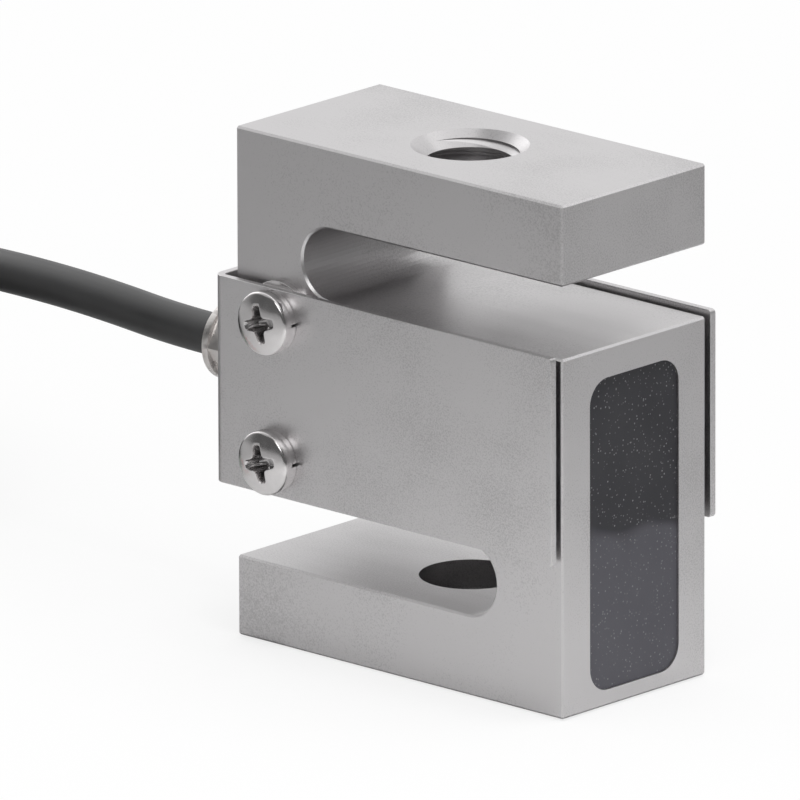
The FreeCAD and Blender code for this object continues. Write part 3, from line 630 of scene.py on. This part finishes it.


# finishes: each slot's kind of material with its colour, its roughness, and its grain or its share of
# painted shade
FINISHES = {
    "body_steel": (milled_steel, (0.62, 0.607, 0.612), 0.33),
    "cover_steel": (milled_steel, (0.655, 0.642, 0.647), 0.4, 0.7),
    "screw_steel": (polished_metal, (0.82, 0.80, 0.80), 0.13, 0.9),
    "gland_metal": (polished_metal, (0.86, 0.83, 0.81), 0.3, 0.1),
    "seal_rubber": (rubber, (0.03, 0.03, 0.03), 0.6),
    "cable_jacket": (rubber, (0.056, 0.056, 0.057), 0.38, 0.6),
    "tie_fabric": (strap, (0.02, 0.02, 0.022)),
    "potting": (cast_compound, (0.064, 0.063, 0.074), 0.55),
    "red_insulation": (plastic, (0.55, 0.02, 0.02)),
    "black_insulation": (plastic, (0.02, 0.02, 0.02)),
    "green_insulation": (plastic, (0.02, 0.30, 0.08)),
    "white_insulation": (plastic, (0.80, 0.80, 0.78)),
    "tinned_copper": (polished_metal, (0.66, 0.62, 0.56), 0.3),
    "gauge_foil": (plastic, (0.62, 0.36, 0.10), 0.3),
    "enamel_wire": (plastic, (0.45, 0.14, 0.04), 0.3),
    "board_laminate": (plastic, (0.03, 0.20, 0.08), 0.4),
    "pad_foam": (rubber, (0.45, 0.45, 0.44), 0.8, 2.0),
    "resistor_ceramic": (plastic, (0.06, 0.06, 0.07), 0.5),
    "solder": (polished_metal, (0.68, 0.68, 0.67), 0.25),
}
materials = {slot: make(slot, *settings) for slot, (make, *settings) in FINISHES.items()}


def finish_piece(piece, slot, *replaced):
    """Gives a new piece its material and slot, and lets it stand for its CAD nodes."""
    piece.data.materials.clear()
    piece.data.materials.append(materials[slot])
    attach(piece, "root")
    if replaced:
        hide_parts(*replaced)
    return piece


for row in frame["record"]["subparts"]:
    for material_slot in nodes[row["node"]].material_slots:
        material_slot.material = materials[row["material_slot"]]


# cords: each with its material, standing for its CAD nodes
finish_piece(cable, "cable_jacket", "cable_run", "cable_hank")
for colour, lead, tip in leads:
    finish_piece(lead, f"{colour}_insulation", f"lead_{colour}")
    finish_piece(tip, "tinned_copper")
finish_piece(drain, "tinned_copper", "shield_drain")


# metal pieces: the CAD meshes welded, with their edges rounded
def welded(node):
    """A CAD node's mesh as one closed skin, its flat areas made whole again."""
    mesh = bmesh.new()
    mesh.from_mesh(nodes[node].data)
    bmesh.ops.remove_doubles(mesh, verts=mesh.verts, dist=1e-7)
    bmesh.ops.dissolve_limit(
        mesh, angle_limit=math.radians(0.3), verts=mesh.verts, edges=mesh.edges
    )
    return mesh


def apply_modifiers(thing):
    """Makes an object's modifiers real in its mesh."""
    bpy.context.view_layer.update()
    depsgraph = bpy.context.evaluated_depsgraph_get()
    data = bpy.data.meshes.new_from_object(thing.evaluated_get(depsgraph))
    thing.modifiers.clear()
    thing.data = data


def round_edges(thing, width, sharp=EDGE_ANGLE, segments=2):
    """A modifier that rounds the edges over an angle in degrees by a width in millimetres."""
    bevel = thing.modifiers.new("edges", "BEVEL")
    bevel.width = width * MM
    bevel.segments = segments
    bevel.limit_method = "ANGLE"
    bevel.angle_limit = math.radians(sharp)
    return bevel


def cut_away(thing, cutters):
    """Cuts the cutters out of an object and removes them."""
    for cutter in cutters:
        modifier = thing.modifiers.new(cutter.name, "BOOLEAN")
        modifier.operation = "DIFFERENCE"
        modifier.solver = "EXACT"
        modifier.object = cutter
    apply_modifiers(thing)
    for cutter in cutters:
        bpy.data.objects.remove(cutter)


def rounded(name, node, width, slot, segments=2):
    """A CAD node with its edges rounded by a width in millimetres."""
    piece = to_object(name, welded(node))
    bevel = round_edges(piece, width, segments=segments)
    bevel.miter_outer = "MITER_ARC"
    bevel.loop_slide = False
    bevel.harden_normals = True
    apply_modifiers(piece)
    return finish_piece(piece, slot, node)


def flat_normals(thing):
    """Lets the big faces rule the shading at their edges, so that flat areas shade flat."""
    weighted = thing.modifiers.new("normals", "WEIGHTED_NORMAL")
    weighted.mode = "FACE_AREA"
    weighted.weight = 100
    weighted.keep_sharp = True
    apply_modifiers(thing)


def level_faces(data):
    """Makes every face of more than a square millimetre shade flat."""
    normals = [Vector(corner.vector) for corner in data.corner_normals]
    for polygon in data.polygons:
        if polygon.area > MM**2:
            for corner in polygon.loop_indices:
                normals[corner] = polygon.normal
    data.normals_split_custom_set(normals)


def thread_cutter(name, low, high):
    """A closed threaded rod that cuts an M12 thread between two heights, in millimetres.

    Its profile runs along a crest, down a flank and along a root. The other flank is the face
    between one turn and the next.
    """
    low -= THREAD_OVERRUN
    high += THREAD_OVERRUN
    profile = (
        (0.0, THREAD_MAJOR),
        (THREAD_PITCH / 8, THREAD_MAJOR),
        (THREAD_PITCH * 7 / 16, THREAD_MINOR),
        (THREAD_PITCH * 11 / 16, THREAD_MINOR),
    )
    turns = math.ceil((high - low) / THREAD_PITCH)
    mesh = bmesh.new()
    rows = []
    for step in range(turns * THREAD_STEPS + 1):
        angle = 2 * math.pi * step / THREAD_STEPS + THREAD_START
        rise = low + THREAD_PITCH * step / THREAD_STEPS
        row = []
        for offset, radius in profile:
            point = Vector((radius * math.cos(angle), radius * math.sin(angle), rise + offset))
            row.append(mesh.verts.new(point * MM))
        rows.append(row)
    for step, (row, after) in enumerate(zip(rows, rows[1:])):
        for k in range(len(profile) - 1):
            mesh.faces.new((row[k], after[k], after[k + 1], row[k + 1]))
        above = step + THREAD_STEPS
        if above + 1 < len(rows):
            mesh.faces.new((row[-1], after[-1], rows[above + 1][0], rows[above][0]))
    bottom = [row[0] for row in rows[: THREAD_STEPS + 1]] + rows[0][:0:-1]
    top = [row[-1] for row in rows[-THREAD_STEPS - 1 :]] + rows[-1][-2::-1]
    for loop, height in ((bottom, low), (top, low + THREAD_PITCH * (turns + 1))):
        hub = mesh.verts.new(Vector((0, 0, height)) * MM)
        for n, vert in enumerate(loop):
            mesh.faces.new((hub, vert, loop[(n + 1) % len(loop)]))
    return to_object(name, mesh)


def bore_cutter(name, outer, inner):
    """A finely divided bore with its two mouths, between a bar's outer and inner face heights."""
    inward = 1 if inner > outer else -1
    outline = (
        (0.0, outer - inward * CUT_PAST),
        (OUTER_MOUTH + CUT_PAST, outer - inward * CUT_PAST),
        (BORE, outer + inward * (OUTER_MOUTH - BORE)),
        (BORE, inner - inward * (INNER_RELIEF + INNER_MOUTH - BORE)),
        (INNER_MOUTH, inner - inward * INNER_RELIEF),
        (INNER_MOUTH, inner + inward * CUT_PAST),
        (0.0, inner + inward * CUT_PAST),
    )
    profile = [(radius + CUT_ALLOWANCE if radius else 0, height) for radius, height in outline]
    mesh = turned_skin(profile, THREAD_STEPS * 2)
    bmesh.ops.rotate(mesh, verts=mesh.verts, matrix=Matrix.Rotation(math.pi / 2, 3, "X"))
    return to_object(name, mesh)


def sharpen_bores(data):
    """Parts the shading at the threads' edges, which are shallower than the block's own."""
    mesh = bmesh.new()
    mesh.from_mesh(data)
    for edge in mesh.edges:
        middle = (edge.verts[0].co + edge.verts[1].co) / 2
        if middle.xy.length < (OUTER_MOUTH + CUT_PAST) * MM and len(edge.link_faces) == 2:
            edge.smooth = edge.calc_face_angle() < THREAD_EDGE
    mesh.to_mesh(data)
    mesh.free()


def make_body():
    """The sensing body, with fine bores and their two thread helixes cut into the bars."""
    body = to_object("body_block", welded("sensing_body"), smooth=20)
    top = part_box("sensing_body")[1].z / MM
    cutters = [
        bore_cutter("lower_bore", 0.0, BAR_HEIGHT),
        bore_cutter("upper_bore", top, top - BAR_HEIGHT),
        thread_cutter("lower_thread", 0.0, BAR_HEIGHT),
        thread_cutter("upper_thread", top - BAR_HEIGHT, top),
    ]
    cut_away(body, cutters)
    body.data.set_sharp_from_angle(angle=math.radians(25))
    sharpen_bores(body.data)
    flat_normals(body)
    level_faces(body.data)
    return finish_piece(body, "body_steel", "sensing_body")


def cross_section(reach, half_width, corner, height):
    """A cross with rounded arm ends and inner corners, at a height along the screw's axis."""
    points = []
    centre = half_width + corner
    for quarter in range(4):
        turn = Matrix.Rotation(quarter * math.pi / 2 + RECESS_TURN, 2)
        shape = []
        for degrees in range(-90, 91, 45):
            angle = math.radians(degrees)
            drawn_back = half_width * ARM_END_ROUND * (1 - math.cos(angle))
            shape.append((reach - drawn_back, half_width * ARM_END_WIDTH * math.sin(angle)))
        for degrees in range(-90, -181, -15):
            angle = math.radians(degrees)
            shape.append((centre + corner * math.cos(angle), centre + corner * math.sin(angle)))
        for point in shape:
            turned = turn @ Vector(point)
            points.append(Vector((turned.x, height, turned.y)))
    return points


def recess_rings(crown):
    """The cross recess as sections that narrow from over the crown down to its floor."""
    rings = []
    for depth in RECESS_DEPTHS:
        reach = RECESS_SPAN - RECESS_TAPER * depth
        if depth == RECESS_DEPTHS[-1]:
            reach *= RECESS_FLOOR_SHARE
        share = reach / RECESS_SPAN
        half_width = RECESS_HALF_WIDTH * (1 - RECESS_ARM_TAPER * (1 - share))
        rings.append(cross_section(reach, half_width, RECESS_CORNER * share, crown + depth))
    return rings


def screw_mesh():
    """A pan head screw's mesh about the Y axis, its head's seat at zero and its crown at minus Y."""
    profile = [
        (0.0, SHANK_LENGTH),
        (SHANK_RADIUS - SHANK_CHAMFER, SHANK_LENGTH),
        (SHANK_RADIUS, SHANK_LENGTH - SHANK_CHAMFER),
        (SHANK_RADIUS, 0.0),
        (HEAD_RADIUS, 0.0),
        (HEAD_RADIUS, -HEAD_SIDE),
    ]
    for degrees in range(15, 90, 15):
        angle = math.radians(degrees)
        radius = HEAD_RADIUS - HEAD_SHOULDER * (1 - math.cos(angle))
        profile.append((radius, -HEAD_SIDE - HEAD_SHOULDER * math.sin(angle)))
    rim, shoulder = profile[-1]
    for n in range(1, 9):
        share = n / 8
        profile.append((rim * (1 - share), shoulder - HEAD_CROWN * (1 - (1 - share) ** 2)))
    blank = to_object("screw_blank", turned_skin(profile))
    cut_away(blank, [to_object("recess_cutter", loft(recess_rings(shoulder - HEAD_CROWN)))])
    round_edges(blank, SCREW_EDGE, sharp=40)
    apply_modifiers(blank)
    data = blank.data
    bpy.data.objects.remove(blank)
    return data


def make_screws():
    """The four cover screws as one piece, at the middles of the CAD ones."""
    mesh = screw_mesh()
    low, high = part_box("cover_screws")
    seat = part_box("lock_washers")[1].y
    x = (low.x + high.x) / 2
    joined = bmesh.new()
    for side, turn in ((-1, 0), (1, math.pi)):
        for z in (low.z + HEAD_RADIUS * MM, high.z - HEAD_RADIUS * MM):
            copy = mesh.copy()
            copy.transform(Matrix.Translation((x, seat * side, z)) @ Matrix.Rotation(turn, 4, "Z"))
            joined.from_mesh(copy)
            bpy.data.meshes.remove(copy)
    screws = to_object("pan_head_screws", joined, smooth=32)
    return finish_piece(screws, "screw_steel", "cover_screws")


make_body()
rounded("folded_cover", "wrap_cover", COVER_EDGE, "cover_steel", segments=3)
rounded("split_washers", "lock_washers", LOCK_WASHER_EDGE, "screw_steel")
rounded("flat_washers", "spacer_washers", FLAT_WASHER_EDGE, "screw_steel")
rounded("nut", "gland_nut", NUT_EDGE, "gland_metal")
rounded("sleeve", "gland_body", SLEEVE_EDGE, "gland_metal")
make_screws()


# stage: a pale floor with a soft shadow, partly real from the lamps and partly painted near the object,
# the room and the lamps
def white_share(owner, seen, mirrored_share):
    """The share of plain white that a ray finds: seen by the camera, mirrored_share in mirrors."""
    path = add(owner, "ShaderNodeLightPath")
    to_camera = calculate(owner, "MULTIPLY", path.outputs["Is Camera Ray"], seen)
    glossy = path.outputs["Is Glossy Ray"]
    mirrored = calculate(owner, "ADD", glossy, path.outputs["Is Transmission Ray"])
    return sum_of(owner, to_camera, mirrored, mirrored_share)


def mix_shaders(owner, share, first, second, output_kind):
    """Sends two shaders, mixed by a share, to the output of a material or the world."""
    mix = add(owner, "ShaderNodeMixShader")
    link(owner, share, mix.inputs["Fac"])
    link(owner, first, mix.inputs[1])
    link(owner, second, mix.inputs[2])
    link(owner, mix.outputs["Shader"], add(owner, output_kind).inputs["Surface"])


def make_floor():
    """A pale floor that the camera sees as near white, a little less so close to the object, where a
    painted shadow lets more of its real shading show.
    """
    mesh = bmesh.new()
    bmesh.ops.create_grid(mesh, x_segments=1, y_segments=1, size=FLOOR_SIZE)
    floor = to_object("floor", mesh)
    floor.location.z = -FLOOR_GAP
    material = bpy.data.materials.new("floor")
    material.use_nodes = True
    material.node_tree.nodes.clear()
    paper = add(material, "ShaderNodeBsdfDiffuse")
    paper.inputs["Color"].default_value = (FLOOR_GREY, FLOOR_GREY, FLOOR_GREY, 1.0)
    white = add(material, "ShaderNodeEmission")
    white.inputs["Strength"].default_value = 1.0
    # painted shadow: close to the object the camera sees less of the white, so the floor darkens there
    near = add(material, "ShaderNodeAmbientOcclusion")
    near.inputs["Distance"].default_value = FLOOR_NEAR
    seen = spread(material, near.outputs["AO"], *FLOOR_WHITE, *FLOOR_OPEN)
    share = white_share(material, seen, FLOOR_MIRRORED)
    mix_shaders(
        material, share, paper.outputs["BSDF"], white.outputs["Emission"], "ShaderNodeOutputMaterial"
    )
    floor.data.materials.append(material)


def make_world():
    """A pale room, lighter behind the object than in front of it, and white where the camera sees it."""
    world = bpy.data.worlds.new("room")
    bpy.context.scene.world = world
    world.use_nodes = True
    world.node_tree.nodes.clear()
    where = add(world, "ShaderNodeTexCoord")
    rearward = add(world, "ShaderNodeVectorMath", operation="DOT_PRODUCT")
    rearward.inputs[1].default_value = ROOM_LIGHT_SIDE
    link(world, where.outputs["Generated"], rearward.inputs[0])
    strength = spread(world, rearward.outputs["Value"], *ROOM_STRENGTH, *ROOM_TURN, kind="SMOOTHSTEP")
    room = add(world, "ShaderNodeBackground")
    link(world, strength, room.inputs["Strength"])
    white = add(world, "ShaderNodeBackground")
    white.inputs["Color"].default_value = (1.0, 1.0, 1.0, 1.0)
    share = white_share(world, 1.0, ROOM_MIRRORED)
    mix_shaders(
        world, share, room.outputs["Background"], white.outputs["Background"], "ShaderNodeOutputWorld"
    )


def new_lamp(name, kind, place, target, power):
    """A lamp of this kind at its place, turned towards its target."""
    lamp = bpy.data.objects.new(name, bpy.data.lights.new(name, kind))
    lamp.data.energy = power
    lamp.location = place
    lamp.rotation_euler = (Vector(target) - Vector(place)).to_track_quat("-Z", "Y").to_euler()
    bpy.context.scene.collection.objects.link(lamp)
    return lamp


def make_soft_lamp(name, place, target, size, power):
    """A square soft lamp."""
    lamp = new_lamp(name, "AREA", place, target, power)
    lamp.data.size = size


def make_pool_lamp(name, place, target, radius, lamp_radius, power):
    """A lamp that lights a soft-edged pool of the floor, and that no mirror shows."""
    lamp = new_lamp(name, "SPOT", place, target, power)
    lamp.data.spot_size = 2 * math.atan(radius / (Vector(target) - Vector(place)).length)
    lamp.data.spot_blend = 1.0
    lamp.data.shadow_soft_size = lamp_radius
    lamp.visible_glossy = False


make_floor()
make_world()
for soft_lamp in SOFT_LAMPS:
    make_soft_lamp(*soft_lamp)
for pool_lamp in POOL_LAMPS:
    make_pool_lamp(*pool_lamp)
bpy.context.scene.view_settings.view_transform = "Standard"
